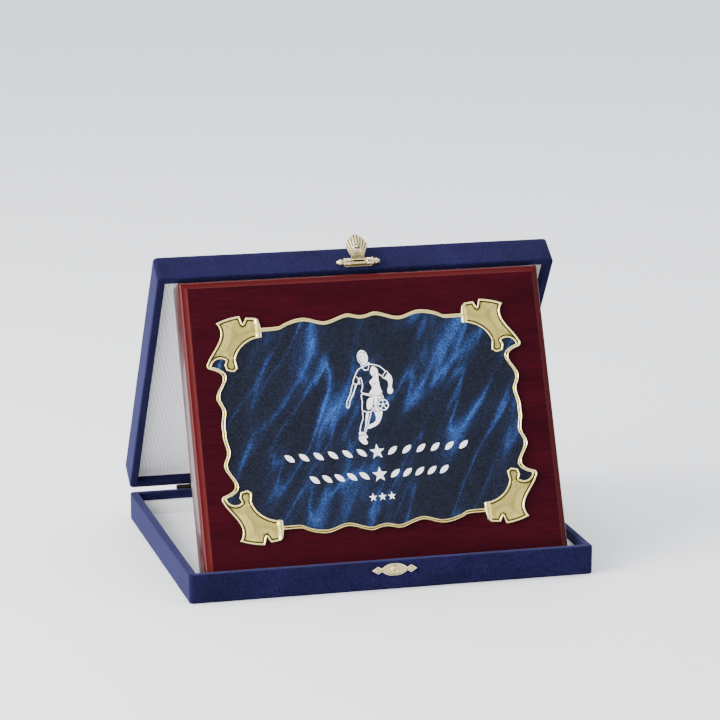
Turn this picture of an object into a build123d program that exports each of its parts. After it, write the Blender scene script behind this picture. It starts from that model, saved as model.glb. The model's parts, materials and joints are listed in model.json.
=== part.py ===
from build123d import *
import os
from math import cos, radians, sin

# A landscape wooden award plaque standing in its own open presentation case.
# The case is two velvet-covered trays hinged along the back.  The lid leans forward, the plaque
# stands in the base tray and leans back, and the lid's front rim sits on top of the plaque.
# Origin: centre of the underside of the base tray.  +X right, +Y towards the hinges, +Z up.

# ---- driving dimensions, millimetres and degrees -----------------------------------------------
case_width = 240.0
case_depth = 184.0
base_height = 17.0
lid_height = 18.0
lid_opening = 56.0  # from the closed position
corner_radius = 3.8

velvet = 0.8  # cover on the walls, over the rim and a little way down inside
turn_in = 4.6  # how far the velvet reaches below the rim inside
sheet = 0.6  # cover on the large outer face
rail = 3.2  # wooden side rails
panel = 1.6  # board behind the rails
lining = 0.5
base_lining_depth = 14.0  # rim to lining face
lid_lining_depth = 8.0

hinge_setback = 1.8  # hinge line behind the back faces
hinge_rise = 0.5  # hinge line above the base rim
hinge_spacing = 156.0
hinge_length = 24.0
knuckle_radius = 1.5
hinge_pin_radius = 0.7
hinge_pin_head = (1.05, 0.4)  # radius and length
knuckle_spacing = 0.1
running_gap = 0.06
leaf_thickness = 0.7
leaf_reach = 9.5  # hinge line to the far edge of a leaf
leaf_corner = 0.8
leaf_notch = 1.9  # leaf is cut back this far from the hinge line beside the other knuckles

nail_radius = 0.45
nail_head_radius = 1.1
nail_head_height = 0.5
nail_depth = 3.2  # below the cloth surface
nail_head_taper = 30

board_width = 217.0
board_height = 173.5
board_thickness = 20.0
board_lean = 66.3  # face angle from the floor
board_edge_y = -66.0  # the bottom back edge, which stands on the lining
board_edge_z = 3.3

plate_centre = (-1.8, 85.6)  # on the board's face, from the middle of its bottom edge
plate_turn = 1.0
adhesive = 0.2
adhesive_size = (150.0, 104.0)
marble = 0.6
frame_thickness = 1.7
rebate_scale = 0.985
ink = 0.1

clasp_rim_distance = 3.6  # clasp axis to the lid's rim plane
clasp_offset = 2.5  # clasp axis to the lid's front face
clasp_rest_angle = 28.0  # flap off the lid's front face when it is folded back
clasp_body_length = 16.4
clasp_body_radius = 2.3
clasp_slot = 9.4
clasp_pin_radius = 0.6
clasp_plate_thickness = 0.4
flap_knuckle_radius = 1.9
flap_thickness = 0.7
flap_length = 17.4
flap_lobes = 9
stud_distance = 9.2  # clasp axis to the snap stud
stud_radius = 1.0
stud_neck = (0.8, 1.4)  # radius and length

strike_thickness = 0.5
strike_depth = stud_distance - clasp_rim_distance - hinge_rise  # below the base rim, so the stud meets it
socket_radius = 2.4
socket_bore = 1.2
socket_tube = 1.5
socket_height = 1.1
socket_round = 0.6
socket_floor = 0.5

# ---- frames ------------------------------------------------------------------------------------
hinge_y = case_depth / 2 + hinge_setback
hinge_z = base_height + hinge_rise
opening = radians(lid_opening)
lean = radians(board_lean)

to_lid_back = Vector(0, cos(opening), -sin(opening))
lid_up = Vector(0, sin(opening), cos(opening))
lid_centre = Vector(0, hinge_y, hinge_z) - to_lid_back * (case_depth / 2 + hinge_setback)

# Each half is drawn from its rim plane, with local +Z pointing away from its opening.
base_rim = Plane(origin=(0, 0, base_height), x_dir=(1, 0, 0), z_dir=(0, 0, -1))
lid_rim = Plane(origin=lid_centre, x_dir=(1, 0, 0), z_dir=lid_up)

# On a wall's plane, local Y is the depth below that half's rim and local Z points outward.
base_back = Plane(origin=(0, case_depth / 2, base_height), x_dir=(1, 0, 0), z_dir=(0, 1, 0))
base_front = Plane(origin=(0, -case_depth / 2, base_height), x_dir=(-1, 0, 0), z_dir=(0, -1, 0))
lid_back = Plane(
    origin=lid_centre + to_lid_back * (case_depth / 2), x_dir=(-1, 0, 0), z_dir=to_lid_back
)
lid_front = Plane(
    origin=lid_centre - to_lid_back * (case_depth / 2), x_dir=(1, 0, 0), z_dir=-to_lid_back
)

# Board frame: origin on the bottom back edge, local Y up the back face, local Z out of the face.
board = Plane(
    origin=(0, board_edge_y, board_edge_z), x_dir=(1, 0, 0), z_dir=(0, -sin(lean), cos(lean))
)
face = board.offset(board_thickness)
plate = Plane(
    origin=face.from_local_coords(plate_centre),
    x_dir=board.x_dir.rotate(Axis((0, 0, 0), board.z_dir), plate_turn),
    z_dir=board.z_dir,
)

# Clasp frame: origin on the clasp axis, local Y along the folded-back flap.
clasp_axis_point = lid_front.from_local_coords((0, clasp_rim_distance, clasp_offset))
rest = radians(clasp_rest_angle)
flap_out = lid_up * -sin(rest) - to_lid_back * cos(rest)
flap_plane = Plane(origin=clasp_axis_point, x_dir=(1, 0, 0), z_dir=flap_out)
across = Plane(origin=clasp_axis_point, x_dir=(0, 1, 0), z_dir=(1, 0, 0))

hinge_centres = {"left": -hinge_spacing / 2, "right": hinge_spacing / 2}


def wall_points(wall, points):
    """Planes on a wall, one at each (x, depth) point, facing outward."""
    return [Plane(origin=wall.from_local_coords(p), x_dir=wall.x_dir, z_dir=wall.z_dir) for p in points]


nail_step = hinge_length / 3
hinge_nail_xs = [x + side * nail_step for x in hinge_centres.values() for side in (-1, 1)]
nail_reach = 5.7  # hinge line to the nails
base_hinge_nails = wall_points(base_back, [(x, nail_reach - hinge_rise) for x in hinge_nail_xs])
lid_hinge_nails = wall_points(lid_back, [(x, nail_reach) for x in hinge_nail_xs])
strike_nail_x = 10.2
strike_nails = wall_points(base_front, [(x, strike_depth) for x in (-strike_nail_x, strike_nail_x)])
socket_place = wall_points(base_front, [(0, strike_depth)])
clasp_prong_x = (clasp_slot + clasp_body_length) / 4
clasp_prongs = wall_points(lid_front, [(x, clasp_rim_distance) for x in (-clasp_prong_x, clasp_prong_x)])

os.makedirs("parts", exist_ok=True)


def save(piece, label):
    piece.part.label = label
    export_step(piece.part, f"parts/{label}.step")


def drill(planes, radius, depth):
    """Cuts a round hole of the given depth into the piece at each plane."""
    for plane in planes:
        with Locations(plane.location):
            Hole(radius, depth)


# ---- one half of the case ------------------------------------------------------------------------
def velvet_wrap(half, rim, height, nails, sockets):
    """Velvet band round the walls, over the rim and down inside."""
    inner_width, inner_depth = case_width - 2 * velvet, case_depth - 2 * velvet
    rail_width, rail_depth = inner_width - 2 * rail, inner_depth - 2 * rail
    mouth_width, mouth_depth = rail_width - 2 * velvet, rail_depth - 2 * velvet
    with BuildPart() as wrap:
        with BuildSketch(rim):
            RectangleRounded(case_width, case_depth, corner_radius)
        extrude(amount=height - sheet)
        with BuildSketch(rim.offset(velvet)):
            RectangleRounded(inner_width, inner_depth, corner_radius - velvet)
        extrude(amount=height, mode=Mode.SUBTRACT)
        with BuildSketch(rim):
            Rectangle(mouth_width, mouth_depth)
        extrude(amount=turn_in, mode=Mode.SUBTRACT)
        with BuildSketch(rim.offset(velvet)):
            Rectangle(rail_width, rail_depth)
            Rectangle(mouth_width, mouth_depth, mode=Mode.SUBTRACT)
        extrude(amount=turn_in - velvet)
        rim_edges = wrap.edges().filter_by(lambda e: abs(rim.to_local_coords(e.center()).Z) < 0.01)
        fillet(rim_edges, velvet * 0.75)
        drill(nails, nail_radius, nail_depth)
        drill(sockets, socket_tube, nail_depth)
    save(wrap, f"{half}_velvet_wrap")


def outer_sheet(half, rim, height, word):
    """Velvet on the large outer face."""
    with BuildPart() as cover:
        with BuildSketch(rim.offset(height - sheet)):
            RectangleRounded(case_width, case_depth, corner_radius)
        extrude(amount=sheet)
    save(cover, f"{half}_{word}_velvet")


def side_rails(half, rim, height, front_side, nails, sockets):
    """Four butt-jointed rails.  front_side is the sign of the front rail's local Y."""
    length = case_width - 2 * velvet
    centre = case_depth / 2 - velvet - rail / 2
    reach = height - sheet - panel - velvet
    for word, side in (("front", front_side), ("back", -front_side)):
        with BuildPart() as long_rail:
            with BuildSketch(rim.offset(velvet)):
                with Locations((0, side * centre)):
                    Rectangle(length, rail)
                outer = vertices().sort_by(Axis.Y)[-2:] if side > 0 else vertices().sort_by(Axis.Y)[:2]
                fillet(outer, corner_radius - velvet)
            extrude(amount=reach)
            drill(nails[word], nail_radius, nail_depth)
            drill(sockets[word], socket_tube, nail_depth)
        save(long_rail, f"{half}_{word}_rail")
    side_centre = case_width / 2 - velvet - rail / 2
    side_length = case_depth - 2 * velvet - 2 * rail
    for word, side in (("left", -1), ("right", 1)):
        with BuildPart() as short_rail:
            with BuildSketch(rim.offset(velvet)):
                with Locations((side * side_centre, 0)):
                    Rectangle(rail, side_length)
            extrude(amount=reach)
        save(short_rail, f"{half}_{word}_rail")


def backing(half, rim, height, lining_depth):
    """The board, the padding on it and the lining tray over both."""
    board_start = height - sheet - panel
    with BuildPart() as back_panel:
        with BuildSketch(rim.offset(board_start)):
            RectangleRounded(case_width - 2 * velvet, case_depth - 2 * velvet, corner_radius - velvet)
        extrude(amount=panel)
    save(back_panel, f"{half}_panel")

    room_width = case_width - 2 * velvet - 2 * rail
    room_depth = case_depth - 2 * velvet - 2 * rail
    with BuildPart() as padding:
        with BuildSketch(rim.offset(lining_depth + lining)):
            Rectangle(room_width, room_depth)
        extrude(amount=board_start - lining_depth - lining)
    save(padding, f"{half}_padding")

    with BuildPart() as tray:
        with BuildSketch(rim.offset(turn_in)):
            Rectangle(room_width, room_depth)
        extrude(amount=lining_depth + lining - turn_in)
        with BuildSketch(rim.offset(turn_in)):
            Rectangle(room_width - 2 * lining, room_depth - 2 * lining)
        extrude(amount=lining_depth - turn_in, mode=Mode.SUBTRACT)
    save(tray, f"{half}_lining")


velvet_wrap("base", base_rim, base_height, base_hinge_nails + strike_nails, socket_place)
outer_sheet("base", base_rim, base_height, "bottom")
side_rails(
    "base", base_rim, base_height, 1,
    {"front": strike_nails, "back": base_hinge_nails},
    {"front": socket_place, "back": []},
)
backing("base", base_rim, base_height, base_lining_depth)

velvet_wrap("lid", lid_rim, lid_height, lid_hinge_nails + clasp_prongs, [])
outer_sheet("lid", lid_rim, lid_height, "top")
side_rails(
    "lid", lid_rim, lid_height, -1,
    {"front": clasp_prongs, "back": lid_hinge_nails},
    {"front": [], "back": []},
)
backing("lid", lid_rim, lid_height, lid_lining_depth)


# ---- hinges ----------------------------------------------------------------------------------------
def hinge_leaf(label, centre, wall, line_depth, knuckles, bore):
    """A leaf on a back wall.  knuckles are (start, end) from the hinge's middle along X."""
    with BuildPart() as leaf:
        with BuildSketch(wall):
            with Locations((centre * wall.x_dir.X, line_depth + (leaf_notch + leaf_reach) / 2)):
                RectangleRounded(hinge_length, leaf_reach - leaf_notch, leaf_corner)
            for start, end in knuckles:
                middle = (centre + (start + end) / 2) * wall.x_dir.X
                with Locations((middle, line_depth + leaf_notch)):
                    Rectangle(end - start, 2 * leaf_notch)
        extrude(amount=leaf_thickness)
        for start, end in knuckles:
            with BuildSketch(Plane.YZ.offset(centre + start)):
                with Locations((hinge_y, hinge_z)):
                    Circle(knuckle_radius)
            extrude(amount=end - start)
        with BuildSketch(Plane.YZ.offset(centre - hinge_length)):
            with Locations((hinge_y, hinge_z)):
                Circle(bore)
        extrude(amount=2 * hinge_length, mode=Mode.SUBTRACT)
        nails = base_hinge_nails if wall is base_back else lid_hinge_nails
        with BuildSketch(*nails):
            Circle(nail_radius)
        extrude(amount=leaf_thickness, mode=Mode.SUBTRACT)
    save(leaf, label)


middle_end = hinge_length / 6
outer_start = middle_end + knuckle_spacing
half_length = hinge_length / 2
for hand, centre in hinge_centres.items():
    hinge_leaf(
        f"{hand}_hinge_base_leaf", centre, base_back, -hinge_rise,
        [(-half_length, -outer_start), (outer_start, half_length)], hinge_pin_radius,
    )
    hinge_leaf(
        f"{hand}_hinge_lid_leaf", centre, lid_back, 0.0,
        [(-middle_end, middle_end)], hinge_pin_radius + running_gap,
    )
    head_radius, head = hinge_pin_head
    with BuildPart() as hinge_pin:
        with BuildSketch(Plane.YZ.offset(centre - half_length)):
            with Locations((hinge_y, hinge_z)):
                Circle(hinge_pin_radius)
        extrude(amount=hinge_length)
        for start in (centre - half_length - head, centre + half_length):
            with BuildSketch(Plane.YZ.offset(start)):
                with Locations((hinge_y, hinge_z)):
                    Circle(head_radius)
            extrude(amount=head)
    save(hinge_pin, f"{hand}_hinge_pin")


def nail_group(label, planes, through):
    """Domed nails driven through a plate of the given thickness."""
    with BuildPart() as nails:
        with BuildSketch(*planes):
            Circle(nail_radius)
        extrude(amount=-nail_depth)
        with BuildSketch(*planes):
            Circle(nail_radius)
        extrude(amount=through)
        with BuildSketch(*[p.offset(through) for p in planes]):
            Circle(nail_head_radius)
        extrude(amount=nail_head_height, taper=nail_head_taper)
    save(nails, label)


nail_group("base_hinge_nails", base_hinge_nails, leaf_thickness)
nail_group("lid_hinge_nails", lid_hinge_nails, leaf_thickness)
nail_group("strike_nails", strike_nails, strike_thickness)

# ---- strike plate and socket -----------------------------------------------------------------------
with BuildPart() as strike_plate:
    with BuildSketch(socket_place[0]):
        with BuildLine():
            ThreePointArc((0, 3.5), (4.6, 2.9), (7.4, 1.0))
            Polyline((7.4, 1.0), (9.9, 2.3), (13.5, 0))
            mirror(about=Plane.XZ)
            mirror(about=Plane.YZ)
        make_face()
        Circle(socket_tube, mode=Mode.SUBTRACT)
        with Locations((-strike_nail_x, 0), (strike_nail_x, 0)):
            Circle(nail_radius, mode=Mode.SUBTRACT)
    extrude(amount=strike_thickness)
save(strike_plate, "strike_plate")

with BuildPart() as strike_socket:
    with BuildSketch(socket_place[0].offset(strike_thickness)):
        Circle(socket_radius)
    extrude(amount=socket_height)
    fillet(strike_socket.edges().filter_by(GeomType.CIRCLE).sort_by(Axis.Y)[0], socket_round)
    with BuildSketch(socket_place[0].offset(strike_thickness)):
        Circle(socket_tube)
    extrude(amount=-(strike_thickness + nail_depth))
    with BuildSketch(socket_place[0].offset(strike_thickness + socket_height)):
        Circle(socket_bore)
    extrude(amount=-(socket_height + strike_thickness + nail_depth - socket_floor), mode=Mode.SUBTRACT)
save(strike_socket, "strike_socket")

# ---- clasp -----------------------------------------------------------------------------------------
finial = [(8.2, 2.3), (8.7, 2.5), (9.1, 2.4), (9.3, 1.3), (9.9, 1.1)]
with BuildPart() as clasp_barrel:
    # turned barrel: body, collar, neck, ball and spear tip on each side of the slot
    with BuildSketch(Plane.XY) as turned:
        with BuildLine():
            Polyline((clasp_slot / 2, 0), (clasp_slot / 2, clasp_body_radius), *finial)
            ThreePointArc(finial[-1], (10.9, 1.7), (11.8, 1.0))
            Polyline((11.8, 1.0), (12.1, 1.3), (13.4, 0.25), (13.4, 0), (clasp_slot / 2, 0))
        make_face()
    revolve(axis=Axis.X)
    mirror(about=Plane.YZ)
placed_barrel = flap_plane.location * clasp_barrel.part
with BuildPart() as clasp_plate:
    add(placed_barrel)
    with BuildSketch(lid_front):
        with Locations((0, clasp_rim_distance)):
            Rectangle(clasp_body_length, 2 * clasp_body_radius)
    extrude(amount=clasp_plate_thickness)
    for side in (-1, 1):
        with BuildSketch(lid_front):
            with Locations((side * clasp_prong_x, clasp_rim_distance)):
                Rectangle((clasp_body_length - clasp_slot) / 2, 2 * clasp_body_radius)
        extrude(amount=clasp_offset)
    with BuildSketch(*clasp_prongs):
        Circle(nail_radius)
    extrude(amount=-nail_depth)
    with BuildSketch(across.offset(-clasp_body_length / 2)):
        Circle(clasp_pin_radius)
    extrude(amount=clasp_body_length, mode=Mode.SUBTRACT)
save(clasp_plate, "clasp_plate")

with BuildPart() as clasp_pin:
    with BuildSketch(across.offset(-clasp_body_length / 2)):
        Circle(clasp_pin_radius)
    extrude(amount=clasp_body_length)
save(clasp_pin, "clasp_pin")

flap_side_gap = 0.2
flap_width = clasp_slot - 2 * flap_side_gap
strap_rise = 1.6
shell_centre = 9.8
shell_half_width = 6.7
shell_slant = 0.5  # 0 is a round outer edge, 1 a diamond
shell_neck = (3.8, 3.2)
lobe_bulge = 0.4


def shell_point(turn, extra):
    """A point on the shell's outer edge, turn degrees round from its right-hand corner."""
    angle, share = radians(turn), turn / 90
    out = (1 - shell_slant) * cos(angle) + shell_slant * (1 - share)
    up = (1 - shell_slant) * sin(angle) + shell_slant * (1 - abs(1 - share))
    return (
        (shell_half_width + extra) * out,
        shell_centre + (flap_length - shell_centre - lobe_bulge + extra) * up,
    )


with BuildPart() as clasp_flap:
    with BuildSketch(flap_plane.offset(-flap_thickness / 2)):
        with BuildLine():
            step = 180 / flap_lobes
            for k in range(flap_lobes):
                ThreePointArc(
                    shell_point(k * step, 0), shell_point((k + 0.5) * step, lobe_bulge),
                    shell_point((k + 1) * step, 0),
                )
            left_neck, left_strap = (-shell_neck[0], shell_neck[1]), (-flap_width / 2, strap_rise)
            left = Polyline(shell_point(180, 0), left_neck, left_strap, (-flap_width / 2, 0))
            Polyline(left @ 1, (flap_width / 2, 0), (flap_width / 2, strap_rise), shell_neck, shell_point(0, 0))
        make_face()
    extrude(amount=flap_thickness)
    with BuildSketch(across.offset(-flap_width / 2)):
        Circle(flap_knuckle_radius)
    extrude(amount=flap_width)
    with BuildSketch(across.offset(-flap_width / 2)):
        Circle(clasp_pin_radius + running_gap)
    extrude(amount=flap_width, mode=Mode.SUBTRACT)
    stud_place = flap_plane.offset(flap_thickness / 2)
    with BuildSketch(stud_place):
        with Locations((0, stud_distance)):
            Circle(stud_neck[0])
    extrude(amount=stud_neck[1])
    with Locations(stud_place.location * Location((0, stud_distance, stud_radius))):
        Sphere(stud_radius)
save(clasp_flap, "clasp_flap")

# ---- plaque ----------------------------------------------------------------------------------------
# Moulded edge, as (inset from the edge, height above the back): a square side with a quirk, a
# rounded nose, a hollow, and a small step up to the face.
side_top = 15.2
quirk = 0.7
nose_top = (1.3, 18.1)
hollow_end = (4.2, 19.3)
step_edge = (4.7, board_thickness)


def edge_section(width):
    """Cross-section of the board, width wide."""
    half = width / 2
    nose = (half - nose_top[0], nose_top[1])
    hollow = (half - hollow_end[0], hollow_end[1])
    with BuildSketch() as section:
        with BuildLine():
            Polyline((0, 0), (half - 0.6, 0), (half, 0.6), (half, side_top), (half - quirk, side_top + 0.3))
            Line((half - quirk, side_top + 0.3), (half - 0.15, side_top + 0.9))
            ThreePointArc((half - 0.15, side_top + 0.9), (half - 0.4, 17.2), nose)
            ThreePointArc(nose, (half - 2.5, 18.45), hollow)
            Polyline(
                hollow, (hollow[0], step_edge[1] - 0.15), (half - step_edge[0], step_edge[1]),
                (0, step_edge[1]),
            )
            mirror(about=Plane.YZ)
        make_face()
    return section.sketch


width_section = edge_section(board_width)
height_section = edge_section(board_height)
across_board = Plane(origin=board.origin, x_dir=board.x_dir, z_dir=-board.y_dir)
middle = board.from_local_coords((0, board_height / 2, 0))
up_board = Plane(origin=middle, x_dir=board.y_dir, z_dir=board.x_dir)
with BuildPart() as plaque_board:
    with BuildSketch(across_board):
        add(width_section)
    extrude(amount=-board_height)
    with BuildSketch(up_board):
        add(height_section)
    extrude(amount=board_width, both=True, mode=Mode.INTERSECT)
save(plaque_board, "plaque_board")


# Each outline is one quarter, from the middle of the top to the middle of the side, mirrored twice.
with BuildSketch() as frame_outline:
    with BuildLine():
        top_border = [(0, 62.5), (7.5, 64), (22.5, 60.4), (34, 63.3), (47.5, 60.4), (60.5, 59.2)]
        Spline(*top_border, tangents=[(1, 0), (1, 0)])
        Polyline((60.5, 59.2), (61.6, 64.0), (63.6, 65.4), (68.8, 65.9), (70.7, 62.2), (72.2, 67.1))
        Spline((72.2, 67.1), (80, 65.9), (86.6, 63.7))
        Spline((86.6, 63.7), (84.4, 57.5), (88.5, 49), (93.9, 41))
        ThreePointArc((93.9, 41), (94.6, 39), (93.4, 37))
        Spline((93.4, 37), (86.2, 30), (91, 19.5), (88.5, 13), (89.5, 6), (89.7, 0))
        Polyline((89.7, 0), (0, 0), (0, 62.5))
    make_face()
    mirror(about=Plane.YZ)
    mirror(about=Plane.XZ)

with BuildSketch() as window_outline:
    with BuildLine():
        top_edge = [(0, 60.4), (7.5, 61.8), (22.5, 58.3), (34, 61.1), (47.5, 58.2), (60.3, 56.9)]
        Spline(*top_edge, tangents=[(1, 0), (1, 0)])
        Line((60.3, 56.9), (60.3, 53.6))
        Spline((60.3, 53.6), (67, 52.3), (73, 48.6), (77.2, 41.5))
        Polyline((77.2, 41.5), (76.4, 36.3), (79.0, 34.4), (83.2, 35.4), (84.2, 38.9), (83.0, 41.4))
        ThreePointArc((83.0, 41.4), (88, 42.4), (91.7, 38.6))
        Spline((91.7, 38.6), (84.1, 30), (88.8, 19.4), (86.4, 13), (87.3, 6), (87.5, 0))
        Polyline((87.5, 0), (0, 0), (0, 60.4))
    make_face()
    mirror(about=Plane.YZ)
    mirror(about=Plane.XZ)

marble_top = adhesive + marble
with BuildPart() as scroll_frame:
    with BuildSketch(plate):
        add(frame_outline.sketch)
    extrude(amount=frame_thickness)
    with BuildSketch(plate):
        add(frame_outline.sketch)
        scale(by=rebate_scale)
    extrude(amount=marble_top, mode=Mode.SUBTRACT)
    with BuildSketch(plate.offset(marble_top)):
        add(window_outline.sketch)
    extrude(amount=frame_thickness - marble_top, mode=Mode.SUBTRACT)
save(scroll_frame, "scroll_frame")

with BuildPart() as marble_plate:
    with BuildSketch(plate.offset(adhesive)):
        add(frame_outline.sketch)
        scale(by=rebate_scale)
    extrude(amount=marble)
save(marble_plate, "marble_plate")

# White ornament printed below the picture, one node: rows of (height, leaves on each side, pitch).
ornament_rows = [(-18.5, 6, 8.6), (-32.0, 5, 7.4)]
row_star_radius = 4.6
leaf_gap = 9.2  # middle of a row to its first leaf, in both rows
leaf_slant = 38
leaf_length = 7.2
leaf_bulge = 1.5
small_star_row = (-45.0, 5.6, 2.5)  # height, pitch, radius
star_waist = 0.42  # inner radius over outer radius


def star(radius):
    """Five-pointed star, one point up."""
    spokes = [(radius * (star_waist if k % 2 else 1), radians(90 + 36 * k)) for k in range(10)]
    with BuildSketch() as shape:
        with BuildLine():
            Polyline(*[(length * cos(turn), length * sin(turn)) for length, turn in spokes], close=True)
        make_face()
    return shape.sketch


def leaf(slant):
    """Pointed leaf, its axis turned by slant degrees."""
    half = leaf_length / 2
    with BuildSketch() as shape:
        with BuildLine():
            ThreePointArc((-half, 0), (0, leaf_bulge), (half, 0))
            ThreePointArc((half, 0), (0, -leaf_bulge), (-half, 0))
        make_face()
    return Rot(0, 0, slant) * shape.sketch


with BuildPart() as print_ornaments:
    with BuildSketch(plate.offset(marble_top)):
        for height, count, pitch in ornament_rows:
            add(Pos(0, height) * star(row_star_radius))
            for side in (-1, 1):
                for k in range(count):
                    add(Pos(side * (leaf_gap + k * pitch), height) * leaf(side * leaf_slant))
        height, pitch, radius = small_star_row
        for k in (-1, 0, 1):
            add(Pos(k * pitch, height) * star(radius))
    extrude(amount=ink)
save(print_ornaments, "print_ornaments")

with BuildPart() as plate_adhesive:
    with BuildSketch(plate):
        Rectangle(*adhesive_size)
    extrude(amount=adhesive)
save(plate_adhesive, "plate_adhesive")
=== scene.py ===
import json
from math import cos, exp, hypot, pi, radians, sin

import bmesh
import bpy
import numpy as np
from mathutils import Matrix, Vector, kdtree, noise
from mathutils.geometry import delaunay_2d_cdt


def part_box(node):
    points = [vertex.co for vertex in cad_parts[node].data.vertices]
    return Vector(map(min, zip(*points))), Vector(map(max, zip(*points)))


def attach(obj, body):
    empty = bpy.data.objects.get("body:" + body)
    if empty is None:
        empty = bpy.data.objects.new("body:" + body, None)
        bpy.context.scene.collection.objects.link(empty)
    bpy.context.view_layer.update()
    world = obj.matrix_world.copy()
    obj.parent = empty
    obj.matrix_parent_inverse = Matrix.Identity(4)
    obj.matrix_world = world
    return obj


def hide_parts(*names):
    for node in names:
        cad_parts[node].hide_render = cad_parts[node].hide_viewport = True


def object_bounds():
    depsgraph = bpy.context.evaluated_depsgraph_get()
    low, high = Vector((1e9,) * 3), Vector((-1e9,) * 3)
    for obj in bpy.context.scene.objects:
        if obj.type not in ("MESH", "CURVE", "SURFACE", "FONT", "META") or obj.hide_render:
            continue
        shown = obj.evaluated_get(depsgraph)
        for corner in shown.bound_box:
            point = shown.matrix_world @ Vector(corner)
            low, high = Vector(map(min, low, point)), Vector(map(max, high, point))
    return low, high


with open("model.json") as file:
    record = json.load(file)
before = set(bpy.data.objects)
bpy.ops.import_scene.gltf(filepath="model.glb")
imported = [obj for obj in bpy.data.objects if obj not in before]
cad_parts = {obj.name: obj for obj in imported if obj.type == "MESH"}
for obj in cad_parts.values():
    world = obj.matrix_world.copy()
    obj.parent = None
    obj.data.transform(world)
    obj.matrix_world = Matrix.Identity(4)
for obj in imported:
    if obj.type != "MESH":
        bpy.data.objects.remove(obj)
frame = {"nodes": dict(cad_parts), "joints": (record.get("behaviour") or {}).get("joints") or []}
cad_low, cad_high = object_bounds()
nodes = frame["nodes"]
MM = 0.001
noise.seed_set(1)  # noise_vector differs from run to run without it


# ---- measuring the frame
def middle(node):
    low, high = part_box(node)
    return (low + high) / 2


def face_normal(node, toward):
    """Unit normal of a node's largest face, on the side that looks along toward."""
    normal = max(nodes[node].data.polygons, key=lambda p: p.area).normal.copy()
    return normal if normal.dot(toward) > 0 else -normal


def axes(z, x=Vector((1, 0, 0))):
    """Rotation with the columns x, z cross x, and z."""
    z = z.normalized()
    x = (x - x.dot(z) * z).normalized()
    return Matrix((x, z.cross(x), z)).transposed()


def long_side(node):
    """Unit direction of a flat rectangular node's long side, towards +X."""
    mesh = nodes[node].data
    sides = [mesh.vertices[e.vertices[1]].co - mesh.vertices[e.vertices[0]].co for e in mesh.edges]
    reach = max(abs(side.x) for side in sides)
    best = min((side for side in sides if abs(side.x) > 0.9 * reach), key=lambda side: side.length)
    return best.normalized() if best.x > 0 else -best.normalized()


def span(node, turn):
    """Lowest and highest corner of a node, in millimetres along turn's axes."""
    points = [turn.transposed() @ v.co / MM for v in nodes[node].data.vertices]
    return [Vector([pick(p[i] for p in points) for i in range(3)]) for pick in (min, max)]


def foot(low, high):
    """Middle of a box's low end."""
    return Vector(((low.x + high.x) / 2, (low.y + high.y) / 2, low.z))


# ---- materials
class Nodes:
    """Short calls that add shader nodes to a material or world."""

    def __init__(self, owner):
        owner.use_nodes = True
        self.tree = owner.node_tree

    def feed(self, socket, value):
        if isinstance(value, bpy.types.NodeSocket):
            self.tree.links.new(value, socket)
        elif value is not None:
            socket.default_value = value

    def add(self, kind, out, inputs, **properties):
        """Adds a node with these inputs and returns its output out."""
        node = self.tree.nodes.new("ShaderNode" + kind)
        for key, value in properties.items():
            setattr(node, key, value)
        for key, value in inputs.items():
            self.feed(node.inputs[key], value)
        return node.outputs[out]


class Finish(Nodes):
    """A procedural material round its Principled shader."""

    def __init__(self, name, **settings):
        self.material = bpy.data.materials.new(name)
        super().__init__(self.material)
        self.shader = self.tree.nodes["Principled BSDF"]
        for socket, value in settings.items():
            self.feed(self.shader.inputs[socket.replace("_", " ")], value)

    def place(self, turn=None, scale=(1, 1, 1)):
        """Object coordinates in metres, turned into the axes of a tilted part, then scaled."""
        here = self.add("TexCoord", "Object", {})
        if turn is not None:
            tilt = {"Vector": here, "Rotation": turn.transposed().to_euler()}
            here = self.add("Mapping", 0, tilt, vector_type="POINT")
        return self.add("Mapping", 0, {"Vector": here, "Scale": scale}, vector_type="POINT")

    def noise(self, vector, scale, detail=2.0, roughness=0.5, distortion=0.0):
        inputs = {"Vector": vector, "Scale": scale, "Detail": detail}
        more = {"Roughness": roughness, "Distortion": distortion}
        return self.add("TexNoise", 0, inputs | more)

    def ramp(self, value, *stops):
        """Colour ramp: each stop is (position, colour or grey)."""
        node = self.tree.nodes.new("ShaderNodeValToRGB")
        self.feed(node.inputs[0], value)
        elements = node.color_ramp.elements
        while len(elements) < len(stops):
            elements.new(0.5)
        for element, (position, colour) in zip(elements, stops):
            element.position = position
            element.color = (*colour, 1) if isinstance(colour, tuple) else (colour,) * 3 + (1,)
        return node.outputs[0]

    def blend(self, factor, a, b, how="MIX"):
        node = self.tree.nodes.new("ShaderNodeMix")
        node.data_type = "RGBA"
        node.blend_type = how
        for index, value in ((0, factor), (6, a), (7, b)):
            value = (*value, 1) if isinstance(value, tuple) else value
            self.feed(node.inputs[index], value)
        return node.outputs[2]

    def times(self, a, b):
        return self.blend(1.0, a, b, "MULTIPLY")

    def math(self, operation, *values):
        return self.add("Math", 0, dict(enumerate(values)), operation=operation)

    def spread(self, value, low, high):
        """Maps 0..1 to low..high."""
        return self.add("MapRange", 0, {"Value": value, "To Min": low, "To Max": high})

    def bump(self, *layers):
        """Bump from (height, strength, distance) layers, coarse to fine."""
        normal = None
        for height, strength, distance in layers:
            inputs = {"Height": height, "Strength": strength, "Distance": distance}
            normal = self.add("Bump", 0, inputs | {"Normal": normal})
        self.feed(self.shader.inputs["Normal"], normal)

    def paint(self, colour=None, roughness=None):
        self.feed(self.shader.inputs["Base Color"], colour)
        self.feed(self.shader.inputs["Roughness"], roughness)
        return self.material


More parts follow.
